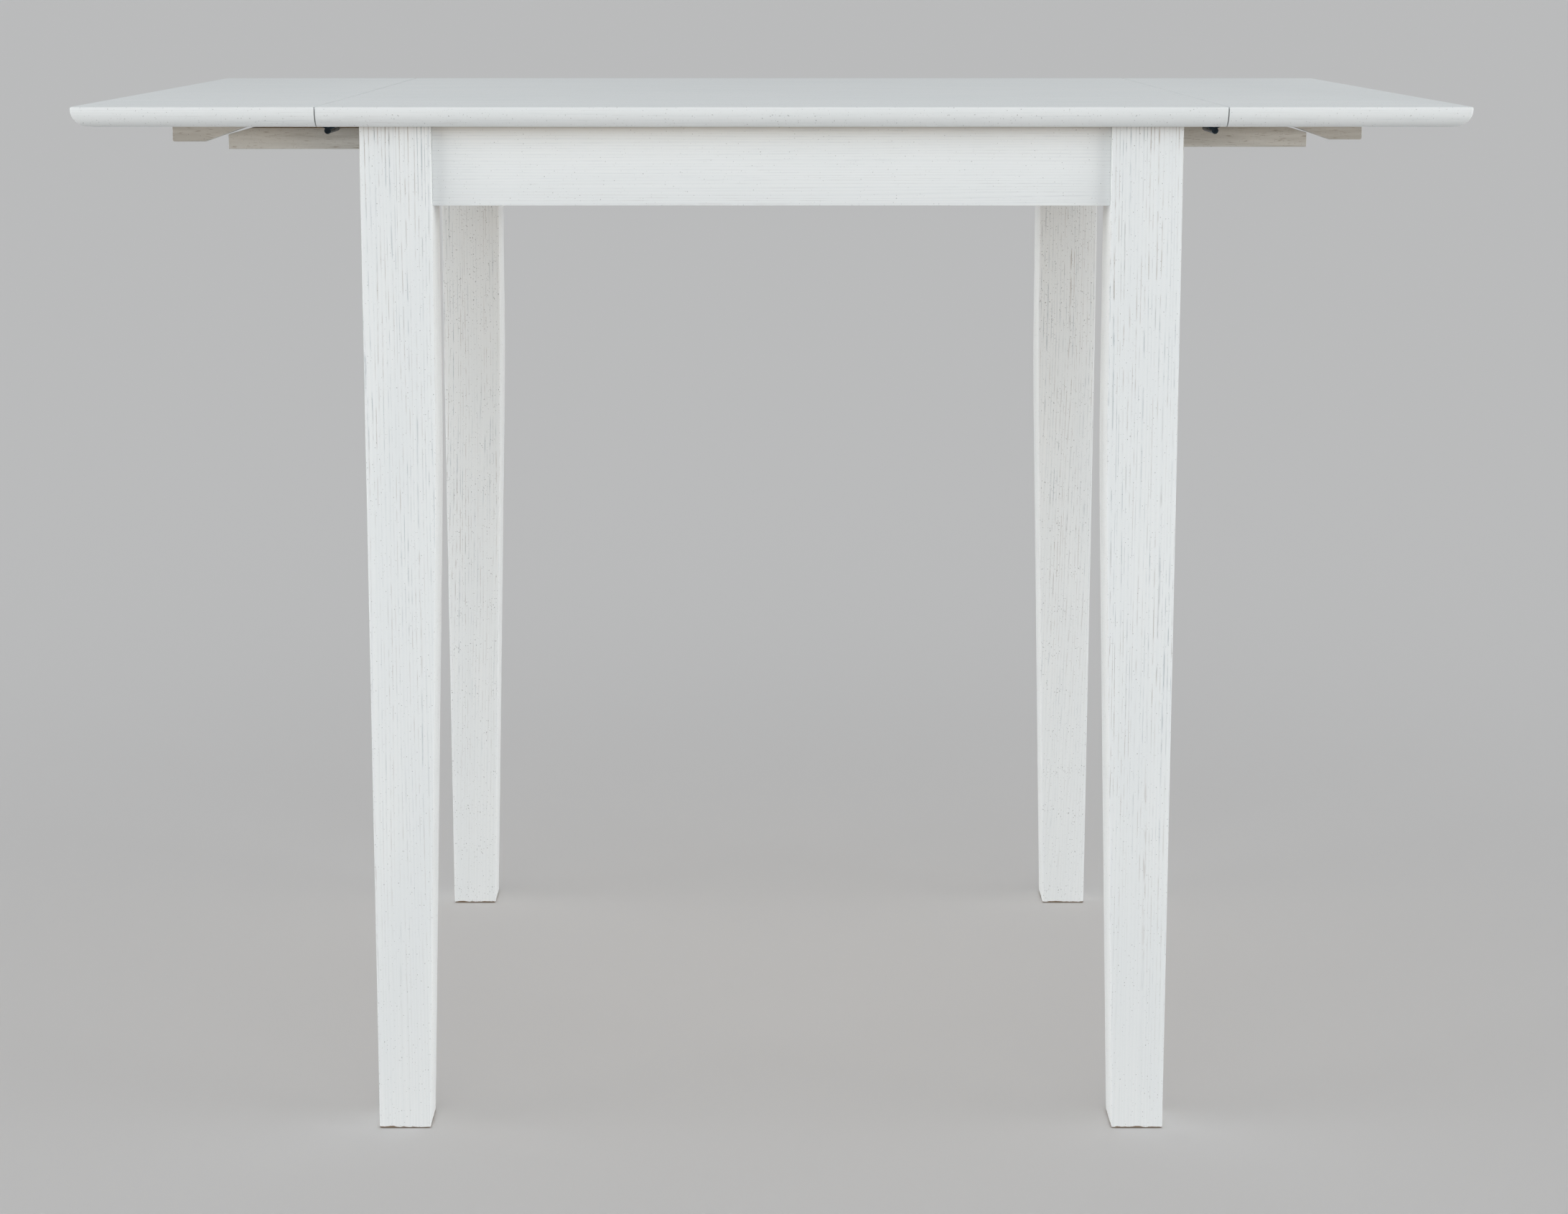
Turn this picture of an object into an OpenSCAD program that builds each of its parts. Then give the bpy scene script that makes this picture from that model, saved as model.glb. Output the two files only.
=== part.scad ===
// Drop leaf table: a fixed centre board on four tapered legs, and two leaves that hinge down.
// Each raised leaf rests on two bars that slide out of the frame. The rest pose has both leaves up.
// +X is to the right, +Y to the rear and +Z up. The origin is on the floor, under the table's middle.

/* [Overall] */
// Width over both raised leaves
overall_w = 1220; // [1000:1:1500]
// Depth of the top, from front edge to rear edge
overall_d = 790; // [700:1:1000]
// Height of the top surface over the floor
overall_h = 940; // [700:1:1100]

/* [Top] */
// Thickness of the boards
top_t = 18; // [18:0.5:25]
// Width of the fixed centre board
centre_w = 794; // [700:1:900]
// Gap between the centre board and a leaf
board_gap = 1; // [0.6:0.1:2]
// Radius of the round under the outer edges
under_r = 15; // [8:0.5:16]
// Radius of the eased upper edges
ease_r = 1.5; // [0.5:0.1:2]
// Radius of the leaves' corners in plan
corner_r = 3; // [2:0.5:15]

/* [Legs] */
// Width of a leg at the frame
leg_w = 63; // [50:1:80]
// Width of a leg at the floor
foot_w = 47; // [35:1:60]
// Height at which the two inner faces start to taper
taper_z = 632; // [450:1:650]
// Length of the curve into the taper, to each side of that height
taper_blend = 70; // [20:1:100]
// Overhang of the centre board beyond the legs' side faces
side_overhang = 35; // [30:1:60]
// Overhang of the boards beyond the legs' front and rear faces
front_overhang = 23; // [15:1:50]
// Bevel around the foot
foot_bevel = 1.5; // [0.5:0.1:3]

/* [Frame] */
// Height of the aprons
apron_h = 70; // [68:1:110]
// Thickness of the aprons
apron_t = 19; // [16:0.5:25]
// Setback of the aprons from the legs' outer faces
apron_setback = 6; // [2:0.5:10]
// Diameter of the dowels
dowel_d = 8; // [6:0.5:10]
// Length of the dowels
dowel_l = 34; // [24:1:40]
// Gap between a leg's inner corner and its corner brace
brace_gap = 2; // [1:0.5:8]
// Thickness of the corner braces
brace_t = 15; // [12:0.5:18]
// Height of the corner braces
brace_h = 26; // [20:1:28]
// Diameter of the hanger bolts
bolt_d = 6; // [5:0.5:8]
// Depth to which the wood screws bite into a board or an apron
screw_bite = 12; // [8:0.5:14]

/* [Support bars] */
// Distance from the board's front or rear edge to the nearest bar
bar_inset = 155; // [150:1:180]
// Width of a bar
bar_w = 24; // [18:0.5:26]
// Height of a bar
bar_h = 19.5; // [15:0.5:20]
// Length of a bar
bar_l = 350; // [330:1:360]
// Reach of a pulled-out bar beyond the hinge line
bar_reach = 102; // [80:1:104]
// Gap between the boards and the bars
bar_drop = 7.5; // [7:0.1:10]
// Length of the bevel on a bar's tip
tip_l = 21; // [15:0.5:25]
// Depth of the bevel on a bar's tip
tip_drop = 6; // [4:0.1:8]
// Travel of a bar while its leaf folds through a right angle
bar_travel = 380; // [375:1:420]
// Clearance around a bar in its channel
bar_clear = 0.5; // [0.3:0.1:1]
// Width of the channel rails
rail_w = 12; // [8:0.5:16]
// Thickness of the channel floors
floor_t = 6; // [4:0.5:8]
// Diameter of the pull pegs
peg_d = 10; // [8:0.5:12]

/* [Wedge blocks] */
// Thickness of a block
wedge_t = 20; // [16:0.5:22]
// Width of a block
wedge_w = 28; // [20:0.5:32]
// Distance from the hinge line to the block's outer end
wedge_out = 153; // [148:1:165]
// Length of the block's flat underside
wedge_flat = 30; // [24:1:40]
// Slope of the block's inner face, in degrees
wedge_slope = 19.7; // [18:0.1:24]
// Thickness of the block's inner end
wedge_tip = 4; // [3:0.5:6]

/* [Hinges] */
// Distance from the board's front or rear edge to a hinge
hinge_inset = 80; // [60:1:85]
// Length of a hinge
hinge_l = 60; // [50:1:66]
// Depth of the pivot under the boards
pivot_drop = 6.5; // [4.5:0.1:8]
// Diameter of the knuckles
knuckle_d = 6; // [5:0.1:7]
// Diameter of the hinge pins
pin_d = 3; // [2:0.1:4]
// Thickness of the hinge plates
plate_t = 1.5; // [1:0.1:2]
// Width of a hinge plate, from the pivot
plate_w = 34; // [30:1:40]
// Radial clearance of a pin in the turning knuckles
pin_clear = 0.05; // [0.02:0.01:0.1]
// Gap between neighbouring knuckles
knuckle_gap = 0.3; // [0.3:0.1:0.6]
// Number of knuckles on a hinge
knuckles = 5; // [3:2:7]

/* [Hidden] */
$fn = 48;
// boards
leaf_w = (overall_w - centre_w) / 2 - board_gap;
under_z = overall_h - top_t;
hinge_x = centre_w / 2 + board_gap / 2;
// legs
leg_x = centre_w / 2 - side_overhang;
leg_y = overall_d / 2 - front_overhang;
taper_a = atan((leg_w - foot_w) / taper_z);
taper_r = taper_blend / tan(taper_a / 2);
// aprons
apron_z = under_z - apron_h;
apron_ox = leg_x - apron_setback;
apron_oy = leg_y - apron_setback;
apron_ix = apron_ox - apron_t;
apron_iy = apron_oy - apron_t;
front_l = 2 * (leg_x - leg_w);
side_l = 2 * (leg_y - leg_w);
dowel_z = [apron_z + 15, apron_z + 30];
// corner braces, with the hanger bolt along their diagonal
brace_z = apron_z + 5;
bolt_z = brace_z + brace_h / 2;
leg_corner = apron_ix - leg_x + leg_w;
brace_reach = 2 * leg_corner + brace_gap * sqrt(2);
bolt_l = 78;
bolt_clear = 0.3;
washer_d = 16;
washer_t = 1.6;
nut_w = 10;
nut_t = 5;
// support bars: the left one lies nearer to the edge, and the right one beside it
bar_y = [overall_d / 2 - bar_inset - bar_w / 2,
         overall_d / 2 - bar_inset - bar_w * 1.5 - rail_w - 2 * bar_clear];
bar_top = under_z - bar_drop;
bar_tip = hinge_x + bar_reach;
peg_in = 22;
peg_l = 30;
peg_sink = 14;
peg_x = bar_tip - bar_l + peg_in;
slot_clear = 1;
slot_w = peg_d + 2 * slot_clear;
// channels
chan_top = bar_top + bar_clear;
chan_bottom = bar_top - bar_h - bar_clear;
chan_y0 = bar_y[1] - bar_w / 2 - bar_clear - rail_w;
chan_w = 2 * bar_w + 4 * bar_clear + 3 * rail_w;
chan_screw_x = [50 - apron_ix, -100, 100, apron_ix - 50];
// wedge blocks
wedge_run = (wedge_t - wedge_tip) / tan(wedge_slope);
wedge_round = 2;
wedge_screw = 6;
// hinges
hinge_y = overall_d / 2 - hinge_inset - hinge_l / 2;
pivot_z = under_z - pivot_drop;
knuckle_r = knuckle_d / 2;
knuckle_l = hinge_l / knuckles;
crank = 10;
screw_y = [-hinge_l / 2 + 9, 0, hinge_l / 2 - 9];
screw_x = [plate_w - 6, plate_w - 15, plate_w - 6];
// countersunk screws: shank diameter, head diameter and head height
screw_d = 3.5;
head_d = 7;
head_h = 2.2;
// cleats that hold the centre board down
cleat = 20;
cleat_l = 120;
cleat_x = 170;

paint = "#E3E6E6";
board = "#D5D9DB";
bare = "#B9A888";
steel = "#39434C";
zinc = "#A7ABAE";

// One side or the other: 1 is right or rear, and -1 is left or front.
module at_side(s) { mirror([s < 0 ? 1 : 0, 0, 0]) children(); }
module at_end(s) { mirror([0, s < 0 ? 1 : 0, 0]) children(); }
module at_corners() { for (sx = [-1, 1], sy = [-1, 1]) at_side(sx) at_end(sy) children(); }
module at_ends() { for (sy = [-1, 1]) at_end(sy) children(); }

// What a round of radius r takes off a square corner at the origin.
module round_off(r) {
    difference() {
        translate([-1, -1]) square(r + 1);
        translate([r, r]) circle(r);
    }
}

// Section through a board that ends at 0 and is w wide. The round under the edge is at the
// end at 0, and also at the far end if both is true. Every upper edge is eased.
module board_section(w, both) {
    difference() {
        square([w, top_t]);
        round_off(under_r);
        translate([0, top_t]) mirror([0, 1]) round_off(ease_r);
        translate([w, top_t]) mirror([1, 0]) mirror([0, 1]) round_off(ease_r);
        if (both) translate([w, 0]) mirror([1, 0]) round_off(under_r);
    }
}

// The board section that runs from front to rear, drawn out along X.
module deep_section(w) {
    translate([0, -overall_d / 2, under_z])
        rotate([90, 0, 90]) linear_extrude(w) board_section(overall_d, true);
}

module top_centre() {
    color(board) difference() {
        intersection() {
            translate([-centre_w / 2, 0, 0]) deep_section(centre_w);
            translate([-centre_w / 2, overall_d / 2, under_z])
                rotate([90, 0, 0]) linear_extrude(overall_d) difference() {
                    square([centre_w, top_t]);
                    for (s = [0, 1]) translate([s * centre_w, top_t])
                        mirror([s, 0]) mirror([0, 1]) round_off(ease_r);
                }
        }
        for (s = [-1, 1]) hinge_screw_set(s, -1);
        cleat_top_screw_set();
        channel_screw_set();
    }
}

// A leaf on the right. Its outer three edges are rounded under.
module leaf_board() {
    intersection() {
        translate([hinge_x + board_gap / 2, 0, 0]) deep_section(leaf_w);
        translate([overall_w / 2, -overall_d / 2, under_z]) rotate([90, 0, 180])
            linear_extrude(overall_d) board_section(leaf_w, false);
        translate([hinge_x + board_gap / 2, -overall_d / 2, under_z - 1]) linear_extrude(top_t + 2)
            difference() {
                square([leaf_w, overall_d]);
                translate([leaf_w, 0]) mirror([1, 0]) round_off(corner_r);
                translate([leaf_w, overall_d]) rotate(180) round_off(corner_r);
            }
    }
}

module leaf(s) {
    color(board) difference() {
        at_side(s) leaf_board();
        hinge_screw_set(s, 1);
        wedge_screw_set(s);
    }
}
module left_leaf() { leaf(-1); }
module right_leaf() { leaf(1); }

// Section of a leg from its outer face at 0: a straight outer side, and an inner side that
// curves into the taper.
module leg_section() {
    bend = [for (i = [0:8]) let (a = taper_a * i / 8)
        [leg_w - taper_r * (1 - cos(a)), taper_z + taper_blend - taper_r * sin(a)]];
    polygon(concat(
        [[foot_bevel, 0], [0, foot_bevel], [0, under_z], [leg_w, under_z]], bend,
        [[foot_w + foot_bevel * tan(taper_a), foot_bevel], [foot_w - foot_bevel, 0]]));
}

module leg(sx, sy) {
    color(paint) difference() {
        at_side(sx) at_end(sy) intersection() {
            translate([leg_x, leg_y, 0]) rotate([90, 0, 0])
                linear_extrude(leg_w) mirror([1, 0]) leg_section();
            translate([leg_x, leg_y, 0]) rotate([90, 0, -90])
                linear_extrude(leg_w) leg_section();
        }
        dowel_set();
        hanger_bolts();
    }
}
module front_left_leg() { leg(-1, -1); }
module front_right_leg() { leg(1, -1); }
module rear_left_leg() { leg(-1, 1); }
module rear_right_leg() { leg(1, 1); }

// The front and rear aprons are plain. The side aprons are notched for the bars.
module long_apron(sy) {
    color(paint) difference() {
        at_end(sy) translate([-front_l / 2, apron_iy, apron_z]) cube([front_l, apron_t, apron_h]);
        dowel_set();
        cleat_apron_screw_set();
    }
}
module front_apron() { long_apron(-1); }
module rear_apron() { long_apron(1); }

module side_apron(s) {
    y = bar_y[s < 0 ? 0 : 1];
    notch = bar_w + 4 * bar_clear;
    color(paint) difference() {
        at_side(s) translate([apron_ix, -side_l / 2, apron_z]) cube([apron_t, side_l, apron_h]);
        at_side(s) at_ends() translate([apron_ix - 1, y - notch / 2, chan_bottom])
            cube([apron_t + 2, notch, bar_drop + bar_h + 2 * bar_clear + 1]);
        dowel_set();
        cleat_apron_screw_set();
    }
}
module left_apron() { side_apron(-1); }
module right_apron() { side_apron(1); }

// Two dowels in each joint between an apron and a leg.
module dowel_set() {
    at_corners() for (z = dowel_z) {
        translate([leg_x - leg_w - dowel_l / 2, apron_oy - apron_t / 2, z])
            rotate([0, 90, 0]) cylinder(h = dowel_l, d = dowel_d);
        translate([apron_ox - apron_t / 2, leg_y - leg_w + dowel_l / 2, z])
            rotate([90, 0, 0]) cylinder(h = dowel_l, d = dowel_d);
    }
}
module apron_dowels() { color(bare) dowel_set(); }

// Puts things on the diagonal of a corner. The bolt's axis is x there, and x = 0 is where
// the leg's inner corner lies.
module on_diagonal() {
    at_corners() translate([leg_x - leg_w, leg_y - leg_w, bolt_z]) rotate([0, 0, 225]) children();
}

module corner_braces() {
    far = brace_reach + brace_t * sqrt(2);
    color(bare) difference() {
        at_corners() translate([apron_ix, apron_iy, brace_z]) mirror([1, 0, 0]) mirror([0, 1, 0])
            linear_extrude(brace_h)
                polygon([[brace_reach, 0], [far, 0], [0, far], [0, brace_reach]]);
        on_diagonal() rotate([0, 90, 0]) cylinder(h = bolt_l, d = bolt_d + 2 * bolt_clear);
    }
}

module hanger_bolts() {
    color(zinc) on_diagonal() translate([-bolt_l / 2, 0, 0])
        rotate([0, 90, 0]) cylinder(h = bolt_l, d = bolt_d);
}
module bolt_washers() {
    color(zinc) on_diagonal() translate([brace_gap + brace_t, 0, 0]) rotate([0, 90, 0])
        difference() {
            cylinder(h = washer_t, d = washer_d);
            translate([0, 0, -1]) cylinder(h = washer_t + 2, d = bolt_d + 2 * bolt_clear);
        }
}
module bolt_nuts() {
    color(zinc) on_diagonal() translate([brace_gap + brace_t + washer_t, 0, 0])
        rotate([0, 90, 0]) difference() {
            cylinder(h = nut_t, d = nut_w / cos(30), $fn = 6);
            translate([0, 0, -1]) cylinder(h = nut_t + 2, d = bolt_d);
        }
}

// A countersunk screw that points up, with its head's face at the origin.
module screw(l) {
    cylinder(h = head_h, d1 = head_d, d2 = screw_d);
    cylinder(h = l - screw_d, d = screw_d);
    translate([0, 0, l - screw_d]) cylinder(h = screw_d, d1 = screw_d, d2 = 0.6);
}

// Cleats inside the aprons, screwed up into the board and out into the apron.
module at_long_cleats() {
    for (sx = [-1, 1]) at_ends() translate([sx * cleat_x, apron_iy, under_z]) children();
}
module at_side_cleats() {
    for (s = [-1, 1]) at_side(s) translate([apron_ix, 0, under_z]) rotate([0, 0, -90]) children();
}
module cleat_top_screw_set() {
    for (x = [-cleat_l / 3, cleat_l / 3]) {
        at_long_cleats() translate([x, -cleat / 2, -cleat]) screw(cleat + screw_bite);
        at_side_cleats() translate([x, -cleat / 2, -cleat]) screw(cleat + screw_bite);
    }
}
module cleat_apron_screw_set() {
    for (x = [-cleat_l / 6, cleat_l / 6]) {
        at_long_cleats() translate([x, -cleat, -cleat / 2]) rotate([-90, 0, 0])
            screw(cleat + screw_bite);
        at_side_cleats() translate([x, -cleat, -cleat / 2]) rotate([-90, 0, 0])
            screw(cleat + screw_bite);
    }
}
module top_cleats() {
    color(bare) difference() {
        union() {
            at_long_cleats() translate([-cleat_l / 2, -cleat, -cleat]) cube([cleat_l, cleat, cleat]);
            at_side_cleats() translate([-cleat_l / 2, -cleat, -cleat]) cube([cleat_l, cleat, cleat]);
        }
        cleat_top_screw_set();
        cleat_apron_screw_set();
    }
}
module cleat_top_screws() { color(zinc) cleat_top_screw_set(); }
module cleat_apron_screws() { color(zinc) cleat_apron_screw_set(); }

// The channels in which the bars slide: a spacer against the board, three rails and a floor.
// The floor is slotted for the pegs that limit each bar's travel.
module in_channel(z, h) {
    at_ends() translate([-apron_ix, chan_y0, z]) linear_extrude(h) children();
}
module channel_screw_set() {
    z = chan_bottom - floor_t;
    at_ends() for (x = chan_screw_x, y = [rail_w / 2, chan_w - rail_w / 2])
        translate([x, chan_y0 + y, z]) screw(under_z - z + screw_bite);
}
module channel_spacers() {
    color(bare) difference() {
        in_channel(chan_top, under_z - chan_top) square([2 * apron_ix, chan_w]);
        channel_screw_set();
    }
}
module channel_rails() {
    color(bare) difference() {
        in_channel(chan_bottom, chan_top - chan_bottom) for (i = [0:2])
            translate([0, i * (rail_w + bar_w + 2 * bar_clear)]) square([2 * apron_ix, rail_w]);
        channel_screw_set();
    }
}
module peg_slot(s) {
    at_side(s) translate([peg_x - bar_travel - slot_w / 2, bar_y[s < 0 ? 0 : 1] - slot_w / 2])
        square([bar_travel + slot_w, slot_w]);
}
module channel_floors() {
    color(bare) difference() {
        in_channel(chan_bottom - floor_t, floor_t) square([2 * apron_ix, chan_w]);
        at_ends() translate([0, 0, chan_bottom - floor_t - 1]) linear_extrude(floor_t + 2)
            for (s = [-1, 1]) peg_slot(s);
        channel_screw_set();
    }
}
module channel_screws() { color(zinc) channel_screw_set(); }

// A support bar, with its bevelled tip, and the peg that it is pulled by.
module at_bar(sx, sy) {
    at_end(sy) at_side(sx) translate([bar_tip, bar_y[sx < 0 ? 0 : 1], bar_top]) children();
}
module support_bar(sx, sy) {
    color(paint) difference() {
        at_bar(sx, sy) translate([0, bar_w / 2, 0]) rotate([90, 0, 0]) linear_extrude(bar_w)
            polygon([[0, -tip_drop], [-tip_l, 0], [-bar_l, 0], [-bar_l, -bar_h], [0, -bar_h]]);
        peg(sx, sy);
    }
}
module peg(sx, sy) {
    color(bare) at_bar(sx, sy) translate([peg_in - bar_l, 0, peg_sink - bar_h - peg_l])
        cylinder(h = peg_l, d = peg_d);
}
module front_left_bar() { support_bar(-1, -1); }
module front_right_bar() { support_bar(1, -1); }
module rear_left_bar() { support_bar(-1, 1); }
module rear_right_bar() { support_bar(1, 1); }
module front_left_peg() { peg(-1, -1); }
module front_right_peg() { peg(1, -1); }
module rear_left_peg() { peg(-1, 1); }
module rear_right_peg() { peg(1, 1); }

// A block under a leaf. Its sloped inner face meets the bevelled tip of a bar.
module at_wedge(sx, sy) {
    at_end(sy) at_side(sx) translate([hinge_x + wedge_out, bar_y[sx < 0 ? 0 : 1], under_z])
        children();
}
module wedge_block(sx, sy) {
    color(paint) difference() {
        at_wedge(sx, sy) translate([0, wedge_w / 2, 0]) rotate([90, 0, 0]) linear_extrude(wedge_w)
            difference() {
                polygon([[0, 0], [-wedge_flat - wedge_run, 0], [-wedge_flat - wedge_run, -wedge_tip],
                         [-wedge_flat, -wedge_t], [0, -wedge_t]]);
                translate([0, -wedge_t]) mirror([1, 0]) round_off(wedge_round);
            }
        wedge_screw_set(sx);
    }
}
module wedge_screw_set(sx) {
    for (sy = [-1, 1], d = [-wedge_screw, wedge_screw])
        at_wedge(sx, sy) translate([d - wedge_flat / 2, d, -wedge_t]) screw(wedge_t + screw_bite);
}
module front_left_wedge() { wedge_block(-1, -1); }
module front_right_wedge() { wedge_block(1, -1); }
module rear_left_wedge() { wedge_block(-1, 1); }
module rear_right_wedge() { wedge_block(1, 1); }
module left_wedge_screws() { color(zinc) wedge_screw_set(-1); }
module right_wedge_screws() { color(zinc) wedge_screw_set(1); }

// Hinges: at a pivot, x points outward to the leaf and y along the pin. Side is 1 for the
// leaf's plate and -1 for the centre board's.
module at_hinges(s) {
    at_side(s) at_ends() translate([hinge_x, hinge_y, pivot_z]) children();
}
module along_pin(y0, l) {
    translate([0, y0 + l, 0]) rotate([90, 0, 0]) linear_extrude(l) children();
}
module plate_section(side) {
    h = pivot_drop;
    r = knuckle_r;
    mirror([side < 0 ? 1 : 0, 0]) polygon([
        [plate_w, h], [plate_w, h - plate_t], [crank + 1, h - plate_t],
        [r * cos(20), r * sin(20)], [0, 0], [r * cos(70), r * sin(70)], [crank, h]]);
}
module flat_section(side) {
    x0 = side < 0 ? -plate_w : crank + 1;
    translate([x0, pivot_drop - plate_t]) square([plate_w - crank - 1, plate_t]);
}
// The leaf's plate has the odd knuckles, and the centre board's plate the even ones.
module hinge_plate(s, side) {
    first = side > 0 ? 1 : 0;
    bore = side > 0 ? pin_d + 2 * pin_clear : pin_d;
    difference() {
        at_hinges(s) difference() {
            union() {
                along_pin(-hinge_l / 2, hinge_l) flat_section(side);
                for (i = [first:2:knuckles - 1])
                    along_pin(-hinge_l / 2 + i * knuckle_l + knuckle_gap / 2, knuckle_l - knuckle_gap) {
                        plate_section(side);
                        circle(knuckle_r);
                    }
            }
            along_pin(-hinge_l / 2 - 1, hinge_l + 2) circle(d = bore);
        }
        hinge_screw_set(s, side);
    }
}
module hinge_screw_set(s, side) {
    at_hinges(s) for (i = [0:2]) translate([side * screw_x[i], screw_y[i], pivot_drop - plate_t])
        screw(plate_t + screw_bite);
}
module hinge_pin_pair(s) {
    color(steel) at_hinges(s)
        along_pin(-hinge_l / 2 + knuckle_gap / 2, hinge_l - knuckle_gap) circle(d = pin_d);
}
module left_hinge_fixed_plates() { color(steel) hinge_plate(-1, -1); }
module right_hinge_fixed_plates() { color(steel) hinge_plate(1, -1); }
module left_hinge_leaf_plates() { color(steel) hinge_plate(-1, 1); }
module right_hinge_leaf_plates() { color(steel) hinge_plate(1, 1); }
module left_hinge_pins() { hinge_pin_pair(-1); }
module right_hinge_pins() { hinge_pin_pair(1); }
module centre_hinge_screws() { color(steel) for (s = [-1, 1]) hinge_screw_set(s, -1); }
module left_hinge_screws() { color(steel) hinge_screw_set(-1, 1); }
module right_hinge_screws() { color(steel) hinge_screw_set(1, 1); }

top_centre();
left_leaf();
right_leaf();
front_left_leg();
front_right_leg();
rear_left_leg();
rear_right_leg();
front_apron();
rear_apron();
left_apron();
right_apron();
apron_dowels();
corner_braces();
hanger_bolts();
bolt_washers();
bolt_nuts();
top_cleats();
cleat_top_screws();
cleat_apron_screws();
channel_spacers();
channel_rails();
channel_floors();
channel_screws();
front_left_bar();
front_right_bar();
rear_left_bar();
rear_right_bar();
front_left_peg();
front_right_peg();
rear_left_peg();
rear_right_peg();
front_left_wedge();
front_right_wedge();
rear_left_wedge();
rear_right_wedge();
left_wedge_screws();
right_wedge_screws();
left_hinge_fixed_plates();
right_hinge_fixed_plates();
left_hinge_leaf_plates();
right_hinge_leaf_plates();
left_hinge_pins();
right_hinge_pins();
centre_hinge_screws();
left_hinge_screws();
right_hinge_screws();
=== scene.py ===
# A drop leaf table in white brushed paint: a fixed board on four tapered legs, and two hinged
# leaves that rest on sliding bars. Lengths are in metres. +X is right, +Y is the rear, +Z is up.
import bmesh
import bpy
import math
from mathutils import Matrix, Vector


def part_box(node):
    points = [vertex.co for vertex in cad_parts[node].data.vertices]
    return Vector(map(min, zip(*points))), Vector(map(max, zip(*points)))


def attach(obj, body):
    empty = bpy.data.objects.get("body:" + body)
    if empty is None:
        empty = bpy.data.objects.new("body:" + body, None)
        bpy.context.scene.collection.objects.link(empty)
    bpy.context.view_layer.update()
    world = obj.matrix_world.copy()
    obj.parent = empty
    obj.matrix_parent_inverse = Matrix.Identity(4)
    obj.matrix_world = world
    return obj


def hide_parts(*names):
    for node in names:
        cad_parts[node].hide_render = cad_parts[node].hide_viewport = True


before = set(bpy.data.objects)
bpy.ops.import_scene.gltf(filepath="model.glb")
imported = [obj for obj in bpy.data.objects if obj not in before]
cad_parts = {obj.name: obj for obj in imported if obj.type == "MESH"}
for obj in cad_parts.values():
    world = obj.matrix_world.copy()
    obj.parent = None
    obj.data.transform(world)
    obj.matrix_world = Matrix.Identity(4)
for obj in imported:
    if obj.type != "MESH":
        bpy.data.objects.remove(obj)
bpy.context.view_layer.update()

# ---------------------------------------------------------------------------------------------
# Legs. Four legs of ash, plumb on their two outer faces; the two inner faces curve into a taper
# below the frame. They are planed, wire-brushed along the grain and sprayed with white lacquer
# that leaves the pores open. A thin, frayed brown line runs around each foot.
# ---------------------------------------------------------------------------------------------
MM = 0.001
CORNERS = [(end, side) for end in ("front", "rear") for side in ("left", "right")]
FOOT_W = 47 * MM
BEND_Z = 632 * MM
BEND = 70 * MM
BEND_STEPS = 10
LEG_EASE = 1.3 * MM
FURROW_GAP = 3.4 * MM
GRAIN_X = (0, 0, 0)
GRAIN_Y = (0, 0, math.radians(90))
GRAIN_Z = (0, math.radians(90), 0)


def colour(hex_code):
    """A linear RGBA colour from an sRGB hex code such as #E8EBEA."""
    channels = [int(hex_code[i:i + 2], 16) / 255 for i in (1, 3, 5)]
    return [c / 12.92 if c <= 0.04045 else ((c + 0.055) / 1.055) ** 2.4 for c in channels] + [1]


def add(tree, kind, *inputs, out=None, **settings):
    """Adds a node with its settings. Its open inputs are set in turn, to values or linked to
    outputs. Gives its output of that name, or its first."""
    node = tree.nodes.new("ShaderNode" + kind)
    for name, value in settings.items():
        setattr(node, name, value)
    for socket, value in zip([s for s in node.inputs if s.enabled], inputs):
        if isinstance(value, bpy.types.NodeSocket):
            tree.links.new(value, socket)
        else:
            socket.default_value = value
    return node.outputs[out] if out else next(s for s in node.outputs if s.enabled)


def new_surface(name, **shader_inputs):
    """A material with only its shader: the material, its tree and the shader's inputs."""
    material = bpy.data.materials.new(name)
    material.use_nodes = True
    shader = material.node_tree.nodes["Principled BSDF"]
    for socket, value in shader_inputs.items():
        shader.inputs[socket].default_value = value
    return material, material.node_tree, shader.inputs


def stretched_grain(tree, grain, features):
    """Noise for each feature of the grain. A feature is given by its length along the grain, its
    width across it, both in mm, and its noise's detail."""
    place = add(tree, "TexCoord", out="Object")
    found = []
    for length, width, detail in features:
        size = (length * MM, width * MM, width * MM)
        turned_place = add(tree, "Mapping", place, (0, 0, 0), grain, size, vector_type="TEXTURE")
        found.append(add(tree, "TexNoise", turned_place, 1.0, detail))
    return found


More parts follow.
